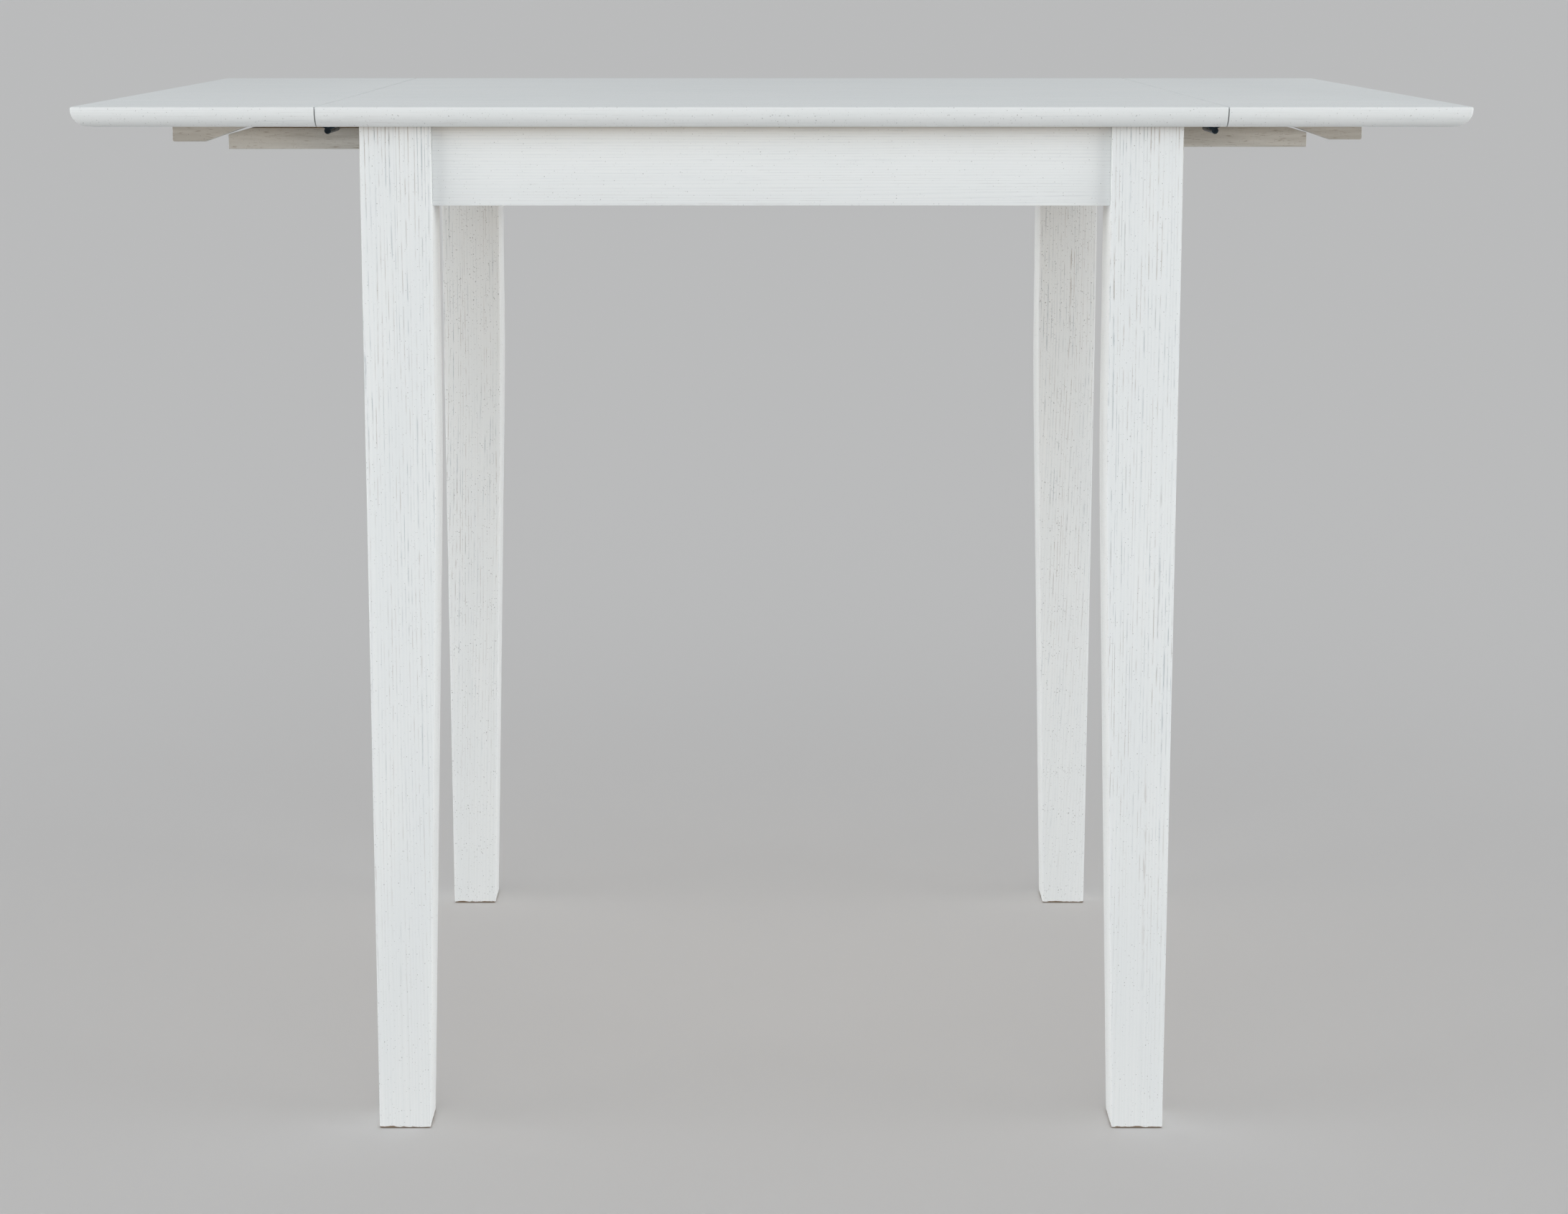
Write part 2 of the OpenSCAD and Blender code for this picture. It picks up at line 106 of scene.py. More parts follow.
def brushed_paint(name, whites, grain, furrow_gap, streaks, ridges, specks, on_legs=False):
    """White lacquer, sprayed on open-grained wood that was wire-brushed first. The brush leaves
    thin furrows a few mm apart, where the open pores stay darker in broken lines: blue-grey, or
    brown where the wood shows. Streaks is how dark those lines are, ridges how far the wood
    stands up between them and how much painted shade greys the furrows, and specks how many
    pinholes there are. On a leg, the lines are heaviest just under the board, as painted shade
    from its overhang, and fade out towards the foot."""
    material, tree, surface = new_surface(name, IOR=1.5)
    drift, dash, patches, clouds, hue, pinhole = stretched_grain(
        tree, grain, ((500, 8, 1), (18, 1.8, 3), (200, 14, 2), (150, 30, 3), (160, 12, 1),
                      (1.5, 1.2, 0)))
    # Rows of furrows, which wander a little to the side on their way along the grain.
    place = add(tree, "TexCoord", out="Object")
    rows = add(tree, "Mapping", place, (0, 0, 0), grain, (1, furrow_gap, furrow_gap),
               vector_type="TEXTURE")
    row = add(tree, "Math", add(tree, "SeparateXYZ", rows, out="Y"),
              add(tree, "SeparateXYZ", rows, out="Z"), operation="ADD")
    row = add(tree, "Math", drift, 2.4, row, operation="MULTIPLY_ADD")
    from_furrow = add(tree, "Math", row, 0.5, operation="PINGPONG")
    # Open pores: broken lines in the furrows, crowded in some patches and sparse in others.
    furrow = add(tree, "MapRange", from_furrow, 0.14, 0.04, 0.0, 1.0)
    broken = add(tree, "MapRange", dash, 0.44, 0.62, 0.0, 1.0)
    crowding = add(tree, "MapRange", patches, 0.36, 0.62, 0.2, 1.0)
    streak = add(tree, "Math", furrow, broken, operation="MULTIPLY")
    streak = add(tree, "Math", streak, crowding, operation="MULTIPLY")
    if on_legs:
        height = add(tree, "SeparateXYZ", place, out="Z")
        rising = add(tree, "MapRange", height, 60 * MM, 420 * MM, 0.15, 1.0)
        # Painted shade from the board's overhang: the lines are darkened over the top 30 mm of the
        # leg.
        overhang_shade = add(tree, "MapRange", height, 885 * MM, 915 * MM, 0.0, 0.7)
        streak = add(tree, "Math", streak, rising, operation="MULTIPLY")
        shaded_lines = add(tree, "MapRange", dash, 0.35, 0.6, 0.2, 1.0)
        shaded_lines = add(tree, "Math", shaded_lines, overhang_shade, operation="MULTIPLY")
        shaded_lines = add(tree, "Math", shaded_lines, furrow, operation="MULTIPLY")
        streak = add(tree, "Math", streak, shaded_lines, operation="ADD")
    # The lacquer: slightly clouded, a little greyer in the furrows as painted shade, with pores and
    # pinholes.
    brown = add(tree, "MapRange", hue, 0.46, 0.54, 0.0, 1.0)
    pore_colour = add(tree, "Mix", brown, colour("#6B7C86"), colour("#86705F"), data_type="RGBA")
    cloudy = add(tree, "MapRange", clouds, 0.3, 0.7, 0.0, 1.0)
    skin = add(tree, "Mix", cloudy, colour(whites[0]), colour(whites[1]), data_type="RGBA")
    # Painted shade: the furrows are greyed towards the third white, more so the higher the ridges.
    furrow_shade = add(tree, "MapRange", from_furrow, 0.5, 0.1, 0.0, ridges)
    skin = add(tree, "Mix", furrow_shade, skin, colour(whites[2]), data_type="RGBA")
    showing = add(tree, "Math", streak, streaks, operation="MULTIPLY", use_clamp=True)
    skin = add(tree, "Mix", showing, skin, pore_colour, data_type="RGBA")
    speck = add(tree, "MapRange", pinhole, 0.82 - 0.1 * specks, 0.9 - 0.1 * specks, 0.0, 0.55)
    skin = add(tree, "Mix", speck, skin, colour("#6E6F6C"), data_type="RGBA")
    if on_legs:
        # A thin, frayed brown line around the foot, 0.9 to 2.6 mm high.
        frayed, = stretched_grain(tree, GRAIN_X, ((9, 9, 4),))
        reach = add(tree, "MapRange", frayed, 0.35, 0.75, 0.9 * MM, 2.6 * MM)
        foot_line = add(tree, "Math", height, reach, operation="DIVIDE")
        foot_line = add(tree, "MapRange", foot_line, 1.15, 0.85, 0.0, 1.0)
        skin = add(tree, "Mix", foot_line, skin, colour("#7A6650"), data_type="RGBA")
    tree.links.new(skin, surface["Base Color"])
    tree.links.new(add(tree, "MapRange", streak, 0.0, 1.0, 0.45, 0.65), surface["Roughness"])
    relief = add(tree, "Math", streak, furrow, operation="ADD")
    relief = add(tree, "Math", relief, -1.0, operation="MULTIPLY")
    tree.links.new(add(tree, "Bump", 0.5 * ridges, 0.12 * MM, 1.0, relief), surface["Normal"])
    return material


def block(low, high):
    """A bmesh box between two corners."""
    bm = bmesh.new()
    bmesh.ops.create_cube(bm, size=1.0)
    bmesh.ops.scale(bm, vec=Vector(high) - Vector(low), verts=bm.verts)
    bmesh.ops.translate(bm, vec=(Vector(high) + Vector(low)) / 2, verts=bm.verts)
    return bm


def ease(bm, edges, width, segments=2):
    """Rounds edges, as sanding does."""
    bmesh.ops.bevel(bm, geom=edges, offset=width, offset_type="OFFSET", affect="EDGES",
                    segments=segments, profile=0.5, material=-1, clamp_overlap=False)


def finished(bm, name, materials, slot, body, *nodes, smooth=30):
    """Turns a bmesh into a piece that rides on a body and stands for its CAD nodes. Edges
    sharper than the smoothing angle, in degrees, stay crisp."""
    mesh = bpy.data.meshes.new(name)
    bm.to_mesh(mesh)
    bm.free()
    piece = bpy.data.objects.new(name, mesh)
    bpy.context.scene.collection.objects.link(piece)
    for material in materials:
        mesh.materials.append(material)
    mesh.polygons.foreach_set("use_smooth", [True] * len(mesh.polygons))
    mesh.set_sharp_from_angle(angle=math.radians(smooth))
    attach(piece, body)
    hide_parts(*nodes)
    return piece


def leg_width(z, top_w):
    """Width of a leg at a height: full above the bend, then an arc into a straight taper."""
    slope = (top_w - FOOT_W) / BEND_Z
    radius = BEND / math.tan(math.atan(slope) / 2)
    below = BEND_Z + BEND - z
    if below <= 0:
        return top_w
    if below < 2 * BEND:
        return top_w - below ** 2 / (2 * radius)
    return FOOT_W + z * slope


leg_paint = brushed_paint("white_lacquer_on_brushed_ash", ("#EEF0F0", "#E9ECED", "#E7EAEB"),
                          GRAIN_Z, FURROW_GAP, streaks=0.5, ridges=0.6, specks=0.8, on_legs=True)
for end, side in CORNERS:
    low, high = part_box(f"{end}_{side}_leg")
    leg = block(low, high)
    for step in range(BEND_STEPS + 1):
        level = BEND_Z - BEND + 2 * BEND * step / BEND_STEPS
        bmesh.ops.bisect_plane(leg, geom=leg.verts[:] + leg.edges[:] + leg.faces[:],
                               plane_co=(0, 0, level), plane_no=(0, 0, 1))
    inner = (high.x if side == "left" else low.x, high.y if end == "front" else low.y)
    inward = (1 if side == "left" else -1, 1 if end == "front" else -1)
    full_w = high.x - low.x
    for v in leg.verts:
        taken = full_w - leg_width(v.co.z, full_w)
        for axis in (0, 1):
            if abs(v.co[axis] - inner[axis]) < MM:
                v.co[axis] -= inward[axis] * taken
    rims = [e for e in leg.edges if abs(e.verts[0].co.z - e.verts[1].co.z) > MM
            or max(v.co.z for v in e.verts) < MM]
    ease(leg, rims, LEG_EASE)
    finished(leg, f"{end}_{side}_tapered_leg", [leg_paint], "leg_paint", "frame",
             f"{end}_{side}_leg")

# ---------------------------------------------------------------------------------------------
# Aprons. Four rails of ash, 19 mm thick, brushed and painted as the legs are but with finer
# grain, which runs along them. Their edges are eased, so that a thin line shows at each leg.
# The side rails are notched at the top for the sliding bars.
# ---------------------------------------------------------------------------------------------
APRON_EASE = 0.8 * MM
BAR_ROOM = 1.0 * MM
FINE_FURROW_GAP = 2.7 * MM
RAIL_WHITES = ("#EEF0F0", "#EAEDED", "#E6E9EA")


def sharp_edges(bm, longer_than=0.0):
    """The edges between two faces that meet at more than 30 degrees."""
    return [e for e in bm.edges if e.is_manifold and e.calc_face_angle() > math.radians(30)
            and e.calc_length() > longer_than]


def extruded(bm, face, move):
    """Draws a face out into a solid."""
    grown = bmesh.ops.extrude_face_region(bm, geom=[face])["geom"]
    bmesh.ops.translate(bm, vec=move, verts=[g for g in grown if isinstance(g, bmesh.types.BMVert)])
    bmesh.ops.recalc_face_normals(bm, faces=bm.faces)


rail_paint_x = brushed_paint("white_lacquer_on_long_rails", RAIL_WHITES, GRAIN_X,
                             FINE_FURROW_GAP, streaks=0.12, ridges=0.6, specks=0.6)
rail_paint_y = brushed_paint("white_lacquer_on_side_rails", RAIL_WHITES, GRAIN_Y,
                             FINE_FURROW_GAP, streaks=0.12, ridges=0.6, specks=0.6)
for end in ("front", "rear"):
    rail = block(*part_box(f"{end}_apron"))
    ease(rail, rail.edges[:], APRON_EASE)
    finished(rail, f"{end}_rail", [rail_paint_x], "apron_paint", "frame", f"{end}_apron")

for side in ("left", "right"):
    low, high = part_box(f"{side}_apron")
    outline = [(low.y, low.z), (high.y, low.z), (high.y, high.z)]
    for end in ("rear", "front"):
        bar_low, bar_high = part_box(f"{end}_{side}_bar")
        sill = bar_low.z - BAR_ROOM / 2
        outline += [(bar_high.y + BAR_ROOM, high.z), (bar_high.y + BAR_ROOM, sill),
                    (bar_low.y - BAR_ROOM, sill), (bar_low.y - BAR_ROOM, high.z)]
    outline.append((low.y, high.z))
    rail = bmesh.new()
    face = rail.faces.new([rail.verts.new((low.x, y, z)) for y, z in outline])
    extruded(rail, face, (high.x - low.x, 0, 0))
    ease(rail, sharp_edges(rail), APRON_EASE)
    finished(rail, f"{side}_notched_rail", [rail_paint_y], "apron_paint", "frame",
             f"{side}_apron")

# ---------------------------------------------------------------------------------------------
# Dowels and corner braces. Beech dowels glued into each joint, out of sight, and a sawn rubberwood
# brace across each corner, planed but left bare. The grain of a brace runs across its corner.
# ---------------------------------------------------------------------------------------------
BRACE_GAP = 2 * MM
BRACE_T = 15 * MM
BARE_EASE = 0.6 * MM


def bare_wood(name, grain, light="#D9BE93", dark="#C4A272"):
    """Wood, sawn and planed but not painted, rubberwood if no colours are given: pale tan with
    darker bands about 9 mm apart, fine brown pores along the grain, and faint saw marks across."""
    material, tree, surface = new_surface(name, IOR=1.45)
    bands, pores, saw = stretched_grain(tree, grain, ((300, 9, 2), (12, 0.8, 2), (2.5, 60, 1)))
    banded = add(tree, "MapRange", bands, 0.35, 0.65, 0.0, 1.0)
    wood = add(tree, "Mix", banded, colour(light), colour(dark), data_type="RGBA")
    pore = add(tree, "MapRange", pores, 0.58, 0.70, 0.0, 0.6)
    wood = add(tree, "Mix", pore, wood, colour("#8F6B42"), data_type="RGBA")
    tree.links.new(wood, surface["Base Color"])
    tree.links.new(add(tree, "MapRange", bands, 0.3, 0.7, 0.62, 0.75), surface["Roughness"])
    relief = add(tree, "Math", saw, 0.4, operation="MULTIPLY")
    relief = add(tree, "Math", relief, pore, operation="SUBTRACT")
    tree.links.new(add(tree, "Bump", 0.35, 0.2 * MM, 1.0, relief), surface["Normal"])
    return material


def refinish(node, material):
    """Gives a CAD node that keeps its shape its own finish."""
    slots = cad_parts[node].data.materials
    slots.clear()
    slots.append(material)


bare_x = bare_wood("planed_rubberwood_lengthwise", GRAIN_X)
bare_y = bare_wood("planed_rubberwood_crosswise", GRAIN_Y)
brace_wood = [bare_wood("brace_rubberwood_rising", (0, 0, math.radians(45))),
              bare_wood("brace_rubberwood_falling", (0, 0, math.radians(-45)))]
refinish("apron_dowels", bare_wood("beech_dowel_rod", GRAIN_X, "#E0C39B", "#C9A273"))

low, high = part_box("corner_braces")
leg_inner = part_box("rear_right_leg")[0]
reach = 2 * (high.x - leg_inner.x) + BRACE_GAP * math.sqrt(2)
far = reach + BRACE_T * math.sqrt(2)
braces = bmesh.new()
for sx in (-1, 1):
    for sy in (-1, 1):
        plan = [(reach, 0), (far, 0), (0, far), (0, reach)]
        corners = [(sx * (high.x - x), sy * (high.y - y), low.z) for x, y in plan]
        face = braces.faces.new([braces.verts.new(c) for c in corners])
        face.material_index = 0 if sx != sy else 1
        extruded(braces, face, (0, 0, high.z - low.z))
ease(braces, sharp_edges(braces), BARE_EASE)
finished(braces, "rubberwood_corner_braces", brace_wood, "bare_wood", "frame", "corner_braces")

# ---------------------------------------------------------------------------------------------
# Hanger bolts, washers and nuts. M6 steel, zinc plated: each bolt is threaded into its leg at the
# corner and pulls the brace tight with a washer and a hexagon nut.
# ---------------------------------------------------------------------------------------------
THREAD_PITCH = 1.0 * MM
THREAD_DEPTH = 0.45 * MM
BOLT_R = 3 * MM
BOLT_L = 78 * MM
BOLT_SIDES = 20
WELD = 0.001 * MM


def plated_steel(name, light, dark, rough):
    """Turned or stamped steel under a thin plating: cloudy, with fine turning scratches."""
    material, tree, surface = new_surface(name, Metallic=1.0)
    clouds, scratches = stretched_grain(tree, GRAIN_Y, ((4, 4, 4), (6, 0.35, 1)))
    cloudy = add(tree, "MapRange", clouds, 0.3, 0.7, 0.0, 1.0)
    steel = add(tree, "Mix", cloudy, colour(light), colour(dark), data_type="RGBA")
    tree.links.new(steel, surface["Base Color"])
    tree.links.new(add(tree, "MapRange", clouds, 0.3, 0.7, rough - 0.06, rough + 0.1),
                   surface["Roughness"])
    tree.links.new(add(tree, "Bump", 0.15, 0.05 * MM, 1.0, scratches), surface["Normal"])
    return material


def solids(node):
    """The lowest and highest corners of each separate solid in a CAD node."""
    bm = bmesh.new()
    bm.from_mesh(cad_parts[node].data)
    bmesh.ops.remove_doubles(bm, verts=bm.verts, dist=WELD)
    found, seen = [], set()
    for start in bm.verts:
        if start in seen:
            continue
        seen.add(start)
        linked = [start]
        for v in linked:
            for other in (edge.other_vert(v) for edge in v.link_edges):
                if other not in seen:
                    seen.add(other)
                    linked.append(other)
        found.append((Vector([min(v.co[i] for v in linked) for i in range(3)]),
                      Vector([max(v.co[i] for v in linked) for i in range(3)])))
    bm.free()
    return found


def turned(profile, sides):
    """A bmesh turned about Z from (radius, height) points that start and end on the axis."""
    bm = bmesh.new()
    verts = [bm.verts.new((r, 0, z)) for r, z in profile]
    edges = [bm.edges.new(pair) for pair in zip(verts, verts[1:])]
    bmesh.ops.spin(bm, geom=verts + edges, cent=(0, 0, 0), axis=(0, 0, 1),
                   angle=math.radians(360), steps=sides, use_merge=True)
    bmesh.ops.remove_doubles(bm, verts=bm.verts, dist=WELD)
    bmesh.ops.recalc_face_normals(bm, faces=bm.faces)
    return bm


def put(bm, direction, at, into):
    """Adds a copy of a bmesh that points along +Z to another, turned to a direction and moved."""
    mesh = bpy.data.meshes.new("copy")
    bm.to_mesh(mesh)
    turn = Vector(direction).to_track_quat("Z", "Y").to_matrix().to_4x4()
    mesh.transform(Matrix.Translation(Vector(at)) @ turn)
    into.from_mesh(mesh)
    bpy.data.meshes.remove(mesh)


zinc = plated_steel("zinc_plated_steel", "#C9CCCE", "#A3A7AB", 0.32)
root_r = BOLT_R - THREAD_DEPTH
profile = [(0, -BOLT_L / 2), (root_r, -BOLT_L / 2)]
for i in range(int(BOLT_L / THREAD_PITCH)):
    z = -BOLT_L / 2 + (i + 0.25) * THREAD_PITCH
    profile += [(BOLT_R, z), (root_r, z + THREAD_PITCH / 2)]
profile += [(root_r, BOLT_L / 2), (0, BOLT_L / 2)]
threaded_rod = turned(profile, BOLT_SIDES)
bolts = bmesh.new()
for low, high in solids("hanger_bolts"):
    middle = (low + high) / 2
    put(threaded_rod, (math.copysign(1, middle.x), math.copysign(1, middle.y), 0), middle, bolts)
finished(bolts, "threaded_hanger_bolts", [zinc], "zinc_steel", "frame", "hanger_bolts", smooth=50)
refinish("bolt_washers", zinc)
refinish("bolt_nuts", zinc)

# ---------------------------------------------------------------------------------------------
# Cleats. Square strips of rubberwood inside the aprons, screwed out into the aprons and up into
# the fixed board. The screws are countersunk, with a cross recess, and sit just below the wood.
# ---------------------------------------------------------------------------------------------
HEAD_R = 3.2 * MM
HEAD_H = 2.0 * MM
SHANK_R = 1.6 * MM
SUNK = 0.3 * MM
CROSS_R = 1.9 * MM
CROSS_W = 0.9 * MM
CROSS_DEPTH = 1.3 * MM
CROSS_TAPER = 0.6
SHANK_L = 6 * MM
LONG_EDGE = 3 * MM


def sanded_copy(node, width):
    """A copy of a CAD node, with its flat faces made whole and its long edges eased."""
    bm = bmesh.new()
    bm.from_mesh(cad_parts[node].data)
    bmesh.ops.remove_doubles(bm, verts=bm.verts, dist=WELD)
    bmesh.ops.dissolve_limit(bm, angle_limit=math.radians(1), verts=bm.verts, edges=bm.edges)
    ease(bm, sharp_edges(bm, LONG_EDGE), width)
    return bm


def screws(name, node, material, slot, body):
    """Countersunk screws in place of a CAD node's. One is drawn out in rings from its cross
    recess to its head and shank, and then put where each of the node's solids is."""
    one = bmesh.new()
    cross = []
    for quarter in range(4):
        turn = Matrix.Rotation(math.radians(90 * quarter), 3, "Z")
        cross += [turn @ Vector((x, y, SUNK)) for x, y in
                  ((CROSS_R, -CROSS_W / 2), (CROSS_R, CROSS_W / 2), (CROSS_W / 2, CROSS_W / 2))]
    recess = one.faces.new([one.verts.new(p) for p in cross])
    rim = recess.edges[:]
    for radius, depth in ((HEAD_R, SUNK), (HEAD_R, 1.5 * SUNK), (SHANK_R, HEAD_H),
                          (SHANK_R, SHANK_L)):
        rim = bmesh.ops.extrude_edge_only(one, edges=rim)["geom"]
        for v in [g for g in rim if isinstance(g, bmesh.types.BMVert)]:
            flat = Vector((v.co.x, v.co.y)).normalized() * radius
            v.co = (flat.x, flat.y, depth)
        rim = [g for g in rim if isinstance(g, bmesh.types.BMEdge)]
    bmesh.ops.contextual_create(one, geom=rim)
    floor = bmesh.ops.extrude_discrete_faces(one, faces=[recess])["faces"][0]
    bmesh.ops.scale(one, vec=(CROSS_TAPER, CROSS_TAPER, 1), verts=floor.verts)
    bmesh.ops.translate(one, vec=(0, 0, CROSS_DEPTH), verts=floor.verts)
    bmesh.ops.recalc_face_normals(one, faces=one.faces)
    many = bmesh.new()
    for low, high in solids(node):
        size, middle = high - low, (low + high) / 2
        axis = max(range(3), key=lambda i: size[i])
        direction = Vector((0, 0, 0))
        direction[axis] = 1 if axis == 2 else math.copysign(1, middle[axis])
        put(one, direction, middle - direction * size[axis] / 2, many)
    finished(many, name, [material], slot, body, node)


cleats = sanded_copy("top_cleats", BARE_EASE)
for face in cleats.faces:
    middle = face.calc_center_median()
    face.material_index = 0 if abs(middle.y) > abs(middle.x) else 1
finished(cleats, "rubberwood_cleats", [bare_x, bare_y], "bare_wood", "frame", "top_cleats")
screws("cleat_screws_into_board", "cleat_top_screws", zinc, "zinc_steel", "frame")
screws("cleat_screws_into_rails", "cleat_apron_screws", zinc, "zinc_steel", "frame")

# ---------------------------------------------------------------------------------------------
# Channels. Two open boxes under the fixed board, in which the bars slide: a thin spacer, three
# strips on edge and a slotted floor, all of bare rubberwood, held up by rows of screws.
# ---------------------------------------------------------------------------------------------
for node, name in (("channel_spacers", "spacer_strips"), ("channel_rails", "guide_strips"),
                   ("channel_floors", "slotted_floors")):
    finished(sanded_copy(node, BARE_EASE), name, [bare_x], "bare_wood", "frame", node)
screws("channel_floor_screws", "channel_screws", zinc, "zinc_steel", "frame")

# ---------------------------------------------------------------------------------------------
# Sliding bars. Four square bars of hardwood that are pulled out to hold a leaf up. The tip is
# cut to a slope. They have one thin coat of off-white, so that the brown grain shows through.
# A bare beech peg, glued in below, is the pull and the stop.
# ---------------------------------------------------------------------------------------------
TIP_L = 21 * MM
TIP_DROP = 6 * MM
BAR_EASE = 0.7 * MM
PEG_ROUND = 1.2 * MM
PEG_SIDES = 32


def thin_paint(name, grain):
    """One coat of off-white on planed hardwood: warm, matt and a little uneven, with brown grain
    lines, short dark pores and tiny dark specks that show through."""
    material, tree, surface = new_surface(name, IOR=1.5)
    bands, pores, specks = stretched_grain(tree, grain, ((70, 4, 4), (9, 0.9, 3), (1.2, 1.0, 0)))
    banded = add(tree, "MapRange", bands, 0.35, 0.7, 0.0, 1.0)
    skin = add(tree, "Mix", banded, colour("#D4D2CC"), colour("#C2BFB8"), data_type="RGBA")
    pore = add(tree, "MapRange", pores, 0.60, 0.72, 0.0, 0.55)
    skin = add(tree, "Mix", pore, skin, colour("#8A7B68"), data_type="RGBA")
    speck = add(tree, "MapRange", specks, 0.76, 0.80, 0.0, 0.6)
    skin = add(tree, "Mix", speck, skin, colour("#6B6258"), data_type="RGBA")
    tree.links.new(skin, surface["Base Color"])
    tree.links.new(add(tree, "MapRange", bands, 0.3, 0.7, 0.5, 0.62), surface["Roughness"])
    tree.links.new(add(tree, "Bump", 0.3, 0.15 * MM, 1.0, bands), surface["Normal"])
    return material


bar_paint = thin_paint("thin_off_white_coat", GRAIN_X)
peg_wood = bare_wood("beech_peg_rod", GRAIN_Z, "#DDC09A", "#C8A476")
for end, side in CORNERS:
    low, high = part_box(f"{end}_{side}_bar")
    tip, heel, inward = (low.x, high.x, 1) if side == "left" else (high.x, low.x, -1)
    outline = [(tip, high.z - TIP_DROP), (tip + inward * TIP_L, high.z), (heel, high.z),
               (heel, low.z), (tip, low.z)]
    bar = bmesh.new()
    face = bar.faces.new([bar.verts.new((x, low.y, z)) for x, z in outline])
    extruded(bar, face, (0, high.y - low.y, 0))
    ease(bar, sharp_edges(bar), BAR_EASE)
    finished(bar, f"{end}_{side}_sliding_bar", [bar_paint], "bar_paint", f"{end}_{side}_bar",
             f"{end}_{side}_bar")
    low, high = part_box(f"{end}_{side}_peg")
    peg_r, peg_l = (high.x - low.x) / 2, high.z - low.z
    peg = bmesh.new()
    put(turned([(0, 0), (peg_r - PEG_ROUND, 0), (peg_r - 0.3 * PEG_ROUND, 0.3 * PEG_ROUND),
                (peg_r, PEG_ROUND), (peg_r, peg_l), (0, peg_l)], PEG_SIDES),
        (0, 0, 1), ((low.x + high.x) / 2, (low.y + high.y) / 2, low.z), peg)
    finished(peg, f"{end}_{side}_pull_peg", [peg_wood], "bare_wood", f"{end}_{side}_bar",
             f"{end}_{side}_peg", smooth=50)

# ---------------------------------------------------------------------------------------------
# Boards. A fixed board and two leaves of glued ash staves, 18 mm thick, in white lacquer sanded
# smoother than the legs', and only sealed below. Outer edges are rounded under with a 15 mm
# cutter and eased above; where a leaf meets the fixed board, only the upper edges are eased.
# ---------------------------------------------------------------------------------------------
UNDER_R = 15 * MM
TOP_EASE = 1.5 * MM
CORNER_R = 3 * MM
ROUND_STEPS = 9
EASE_STEPS = 3
CORNER_STEPS = 4
CORNER_CUT = CORNER_R * (2 - math.sqrt(2))
BOARD_WHITES = ("#ECEEEE", "#E8EBEB", "#E4E8E8")


def rounded_board(low, high, ends):
    """A board, built down from its upper face in rings. Ends are the factors by which its left and
    right ends are rounded under: 1 for an outer end, and 0 at a hinge."""
    bm = bmesh.new()
    corners = [(low.x, low.y), (high.x, low.y), (high.x, high.y), (low.x, high.y)]
    face = bm.faces.new([bm.verts.new((x, y, high.z)) for x, y in corners])
    outer = [v for v in face.verts
             if (v.co.x == low.x and ends[0]) or (v.co.x == high.x and ends[1])]
    if outer:
        bmesh.ops.bevel(bm, geom=outer, offset=CORNER_CUT, offset_type="OFFSET",
                        affect="VERTICES", segments=CORNER_STEPS, profile=0.5, material=-1)
    centre = ((low.x + high.x) / 2, (low.y + high.y) / 2)
    thickness = high.z - low.z
    # A ring is its inset, its depth below the upper face, and whether it is inset at a hinge too.
    rings = []
    for step in range(EASE_STEPS + 1):
        a = math.radians(90) * step / EASE_STEPS
        rings.append((TOP_EASE * (1 - math.sin(a)), TOP_EASE * (1 - math.cos(a)), True))
    for step in range(ROUND_STEPS + 1):
        a = math.radians(90) * step / ROUND_STEPS
        rings.append((UNDER_R * (1 - math.cos(a)), thickness - UNDER_R * (1 - math.sin(a)), False))
    rim = bm.edges[:]
    plain = {v: (v.co.x, v.co.y) for v in bm.verts}
    for v in bm.verts:
        v.co.x -= math.copysign(rings[0][0], v.co.x - centre[0])
        v.co.y -= math.copysign(rings[0][0], v.co.y - centre[1])
    for inset, depth, above in rings[1:]:
        before = {v for e in rim for v in e.verts}
        grown = bmesh.ops.extrude_edge_only(bm, edges=rim)["geom"]
        rim = [g for g in grown if isinstance(g, bmesh.types.BMEdge)]
        for v in [g for g in grown if isinstance(g, bmesh.types.BMVert)]:
            old = next(e.other_vert(v) for e in v.link_edges if e.other_vert(v) in before)
            x, y = plain[v] = plain[old]
            end = ends[0] if x < centre[0] else ends[1]
            v.co = (x - math.copysign(inset * (1 if above else end), x - centre[0]),
                    y - math.copysign(inset, y - centre[1]), high.z - depth)
    underside = bmesh.ops.contextual_create(bm, geom=rim)["faces"]
    for face in underside:
        face.material_index = 1
    bmesh.ops.recalc_face_normals(bm, faces=bm.faces)
    return bm


board_paint = brushed_paint("white_lacquer_on_sanded_boards", BOARD_WHITES, GRAIN_X,
                            FINE_FURROW_GAP, streaks=0.12, ridges=0.25, specks=0.6)
sealed_ash = bare_wood("sealed_ash_underside", GRAIN_X, "#BFA67F", "#A98D66")
for node, name, body, ends in (("top_centre", "fixed_board", "frame", (0, 0)),
                               ("left_leaf", "left_hinged_leaf", "left_leaf", (1, 0)),
                               ("right_leaf", "right_hinged_leaf", "right_leaf", (0, 1))):
    finished(rounded_board(*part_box(node), ends), name, [board_paint, sealed_ash], "board_paint",
             body, node)

# ---------------------------------------------------------------------------------------------
# Wedge blocks. Two under each leaf, of the bars' wood and paint, glued and screwed up into it. A
# bar's sloped tip rides up on a block's slope and lifts the leaf level.
# ---------------------------------------------------------------------------------------------
for end, side in CORNERS:
    block_copy = sanded_copy(f"{end}_{side}_wedge", BAR_EASE)
    finished(block_copy, f"{end}_{side}_wedge_block", [bar_paint], "bar_paint", f"{side}_leaf",
             f"{end}_{side}_wedge")
for side in ("left", "right"):
    screws(f"{side}_wedge_block_screws", f"{side}_wedge_screws", zinc, "zinc_steel", f"{side}_leaf")

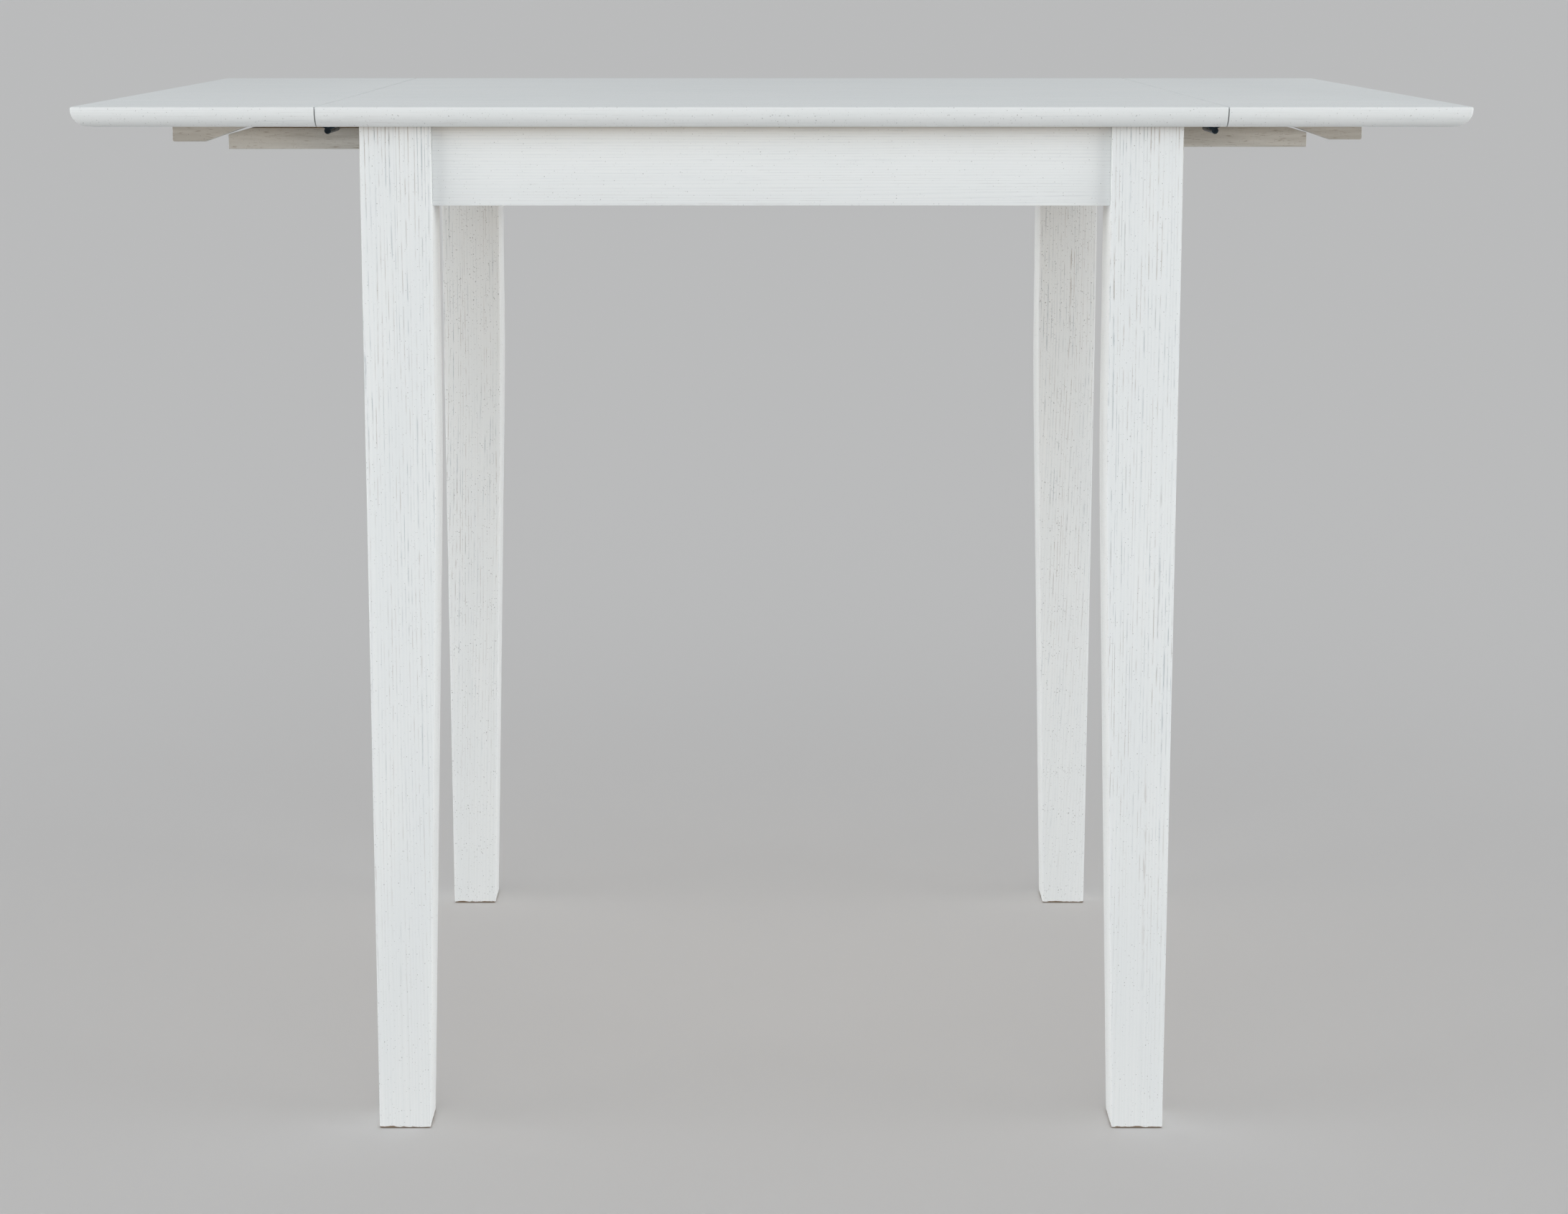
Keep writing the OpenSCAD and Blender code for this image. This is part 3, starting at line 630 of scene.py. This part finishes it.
# ---------------------------------------------------------------------------------------------
# Hinges. Two to a leaf, stamped from 1.5 mm steel, cranked so that the pin hangs below the boards,
# and blackened to a blue-black. The knuckles are rolled round a turned pin.
# ---------------------------------------------------------------------------------------------
HINGE_EASE = 0.25 * MM

blackened = plated_steel("blackened_steel", "#39444D", "#242C33", 0.38)
for side in ("left", "right"):
    for part, body in (("fixed", "frame"), ("leaf", f"{side}_leaf")):
        node = f"{side}_hinge_{part}_plates"
        finished(sanded_copy(node, HINGE_EASE), f"{side}_{part}_hinge_plates", [blackened],
                 "dark_steel", body, node)
    refinish(f"{side}_hinge_pins", blackened)
    screws(f"{side}_leaf_hinge_screws", f"{side}_hinge_screws", blackened, "dark_steel",
           f"{side}_leaf")
screws("fixed_board_hinge_screws", "centre_hinge_screws", blackened, "dark_steel", "frame")

# ---------------------------------------------------------------------------------------------
# Studio. A plain pale floor that runs out of sight, and a tent of soft light: a low, bright panel
# at each side, and plain light all round that is stronger in front than behind and weak overhead.
# The camera is a little above the table's top.
# ---------------------------------------------------------------------------------------------
FLOOR_SIDE = 600
FLOOR_DROP = 0.2 * MM
PANEL_LIGHT = 19.0
FRONT_LOW, REAR_LOW = 0.88, 0.58
FRONT_HIGH, REAR_HIGH, OVERHEAD = 1.15, 0.84, 0.25
CAMERA_PLACE = (-9.3 * MM, -3051.8 * MM, 1047.7 * MM)
CAMERA_TILT = math.radians(90 - 9.205)
SENSOR_W = 36
LENS = 69.79
LENS_SHIFT = (0.0147, -0.085)

floor_mesh = bpy.data.meshes.new("studio_floor")
floor_bm = bmesh.new()
bmesh.ops.create_grid(floor_bm, x_segments=1, y_segments=1, size=FLOOR_SIDE / 2)
bmesh.ops.translate(floor_bm, vec=(0, 0, -FLOOR_DROP), verts=floor_bm.verts)
floor_bm.to_mesh(floor_mesh)
floor_bm.free()
floor = bpy.data.objects.new("studio_floor", floor_mesh)
bpy.context.scene.collection.objects.link(floor)
# Rolled matt paint, in one even warm white with no shine, so that only light and shade show on it.
floor_paint, tree, surface = new_surface("matt_floor_paint", Roughness=1.0, IOR=1.0)
surface["Base Color"].default_value = colour("#DFDDDC")
floor_mesh.materials.append(floor_paint)

# The tent's light by direction: height runs from the horizon at 0 to overhead at 1, sideways from
# straight ahead at 0 to square on at 1, and rearward from the camera's side at -1 to behind at 1.
# It is slightly warm at the horizon and cool above it.
world = bpy.data.worlds.new("studio_tent")
world.use_nodes = True
bpy.context.scene.world = world
tree = world.node_tree
facing = add(tree, "TexCoord", out="Generated")
height = add(tree, "SeparateXYZ", facing, out="Z")
sideways = add(tree, "Math", add(tree, "SeparateXYZ", facing, out="X"), operation="ABSOLUTE")
rearward = add(tree, "SeparateXYZ", facing, out="Y")
to_rear = add(tree, "MapRange", rearward, -0.2, 0.5, 0.0, 1.0, interpolation_type="SMOOTHSTEP")
low_light = add(tree, "MapRange", to_rear, 0.0, 1.0, FRONT_LOW, REAR_LOW)
high_light = add(tree, "MapRange", to_rear, 0.0, 1.0, FRONT_HIGH, REAR_HIGH)
high_light = add(tree, "MapRange", height, 0.55, 0.9, high_light, OVERHEAD)
above = add(tree, "MapRange", height, 0.22, 0.42, 0.0, 1.0, interpolation_type="SMOOTHSTEP")
tent_light = add(tree, "MapRange", above, 0.0, 1.0, low_light, high_light)
on_side = add(tree, "MapRange", sideways, 0.82, 0.88, 0.0, 1.0)
on_side = add(tree, "Math", on_side, add(tree, "MapRange", rearward, -0.02, 0.08, 1.0, 0.0),
              operation="MULTIPLY")
side_light = add(tree, "MapRange", height, 0.07, 0.2, PANEL_LIGHT, 0.8,
                 interpolation_type="SMOOTHSTEP")
brightness = add(tree, "MapRange", on_side, 0.0, 1.0, tent_light, side_light)
tint = add(tree, "MapRange", height, 0.03, 0.2, 0.0, 1.0)
tint = add(tree, "Mix", tint, (1.0, 0.985, 0.955, 1), (0.97, 1.0, 1.02, 1), data_type="RGBA")
tree.links.new(brightness, tree.nodes["Background"].inputs["Strength"])
tree.links.new(tint, tree.nodes["Background"].inputs["Color"])

camera_data = bpy.data.cameras.new("camera")
camera_data.sensor_width = SENSOR_W
camera_data.lens = LENS
camera_data.shift_x, camera_data.shift_y = LENS_SHIFT
camera_data.clip_end = 2 * FLOOR_SIDE
camera = bpy.data.objects.new("camera", camera_data)
camera.location = CAMERA_PLACE
camera.rotation_euler = (CAMERA_TILT, 0, 0)
bpy.context.scene.collection.objects.link(camera)
bpy.context.scene.camera = camera
bpy.context.scene.view_settings.view_transform = "Standard"
